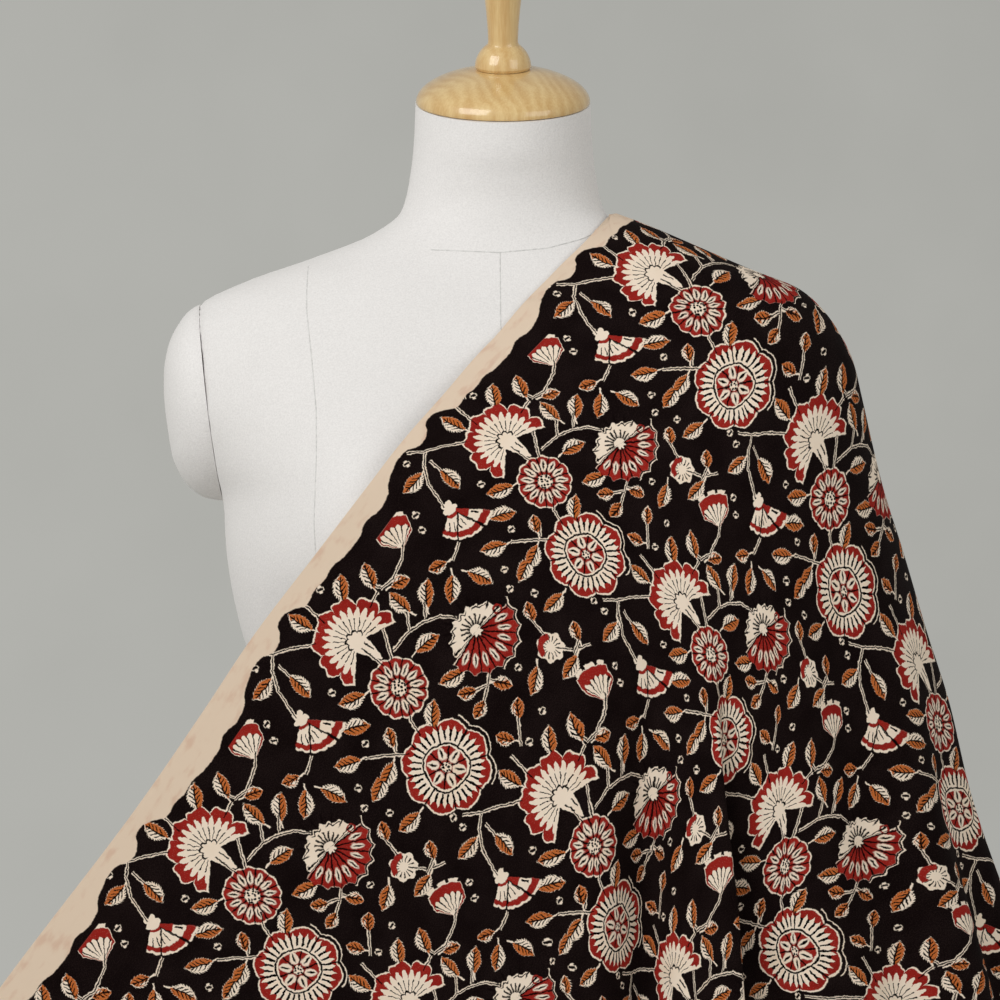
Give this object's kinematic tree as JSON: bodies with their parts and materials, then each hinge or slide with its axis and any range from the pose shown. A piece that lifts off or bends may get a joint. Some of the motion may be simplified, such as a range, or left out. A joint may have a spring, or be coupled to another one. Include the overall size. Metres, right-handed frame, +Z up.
{
  "type": "block-printed cotton fabric draped on a dress form",
  "caption": "Floral block-printed cotton length with a plain selvedge, draped over one shoulder of a white dress form with a turned wooden neck cap and finial.",
  "frame": {"origin": "centre of the form's flat underside, on the surface it stands on", "axes": "+Z up, the form faces -Y, the draped shoulder is on +X"},
  "size_m": [0.8186, 0.4181, 0.7983],
  "materials": {
    "printed_cotton": "matt plain-weave cotton, black ground printed in red, orange and cream",
    "form_cover": "matt white cotton cover with fine seams",
    "turned_wood": "glossy varnished light wood"
  },
  "bodies": {
    "root": {"printed_cotton": "printed_cotton", "form_torso": "form_cover", "arm_cap_right": "form_cover", "arm_cap_left": "form_cover", "neck_cap": "turned_wood", "finial": "turned_wood"}
  },
  "joints": []
}
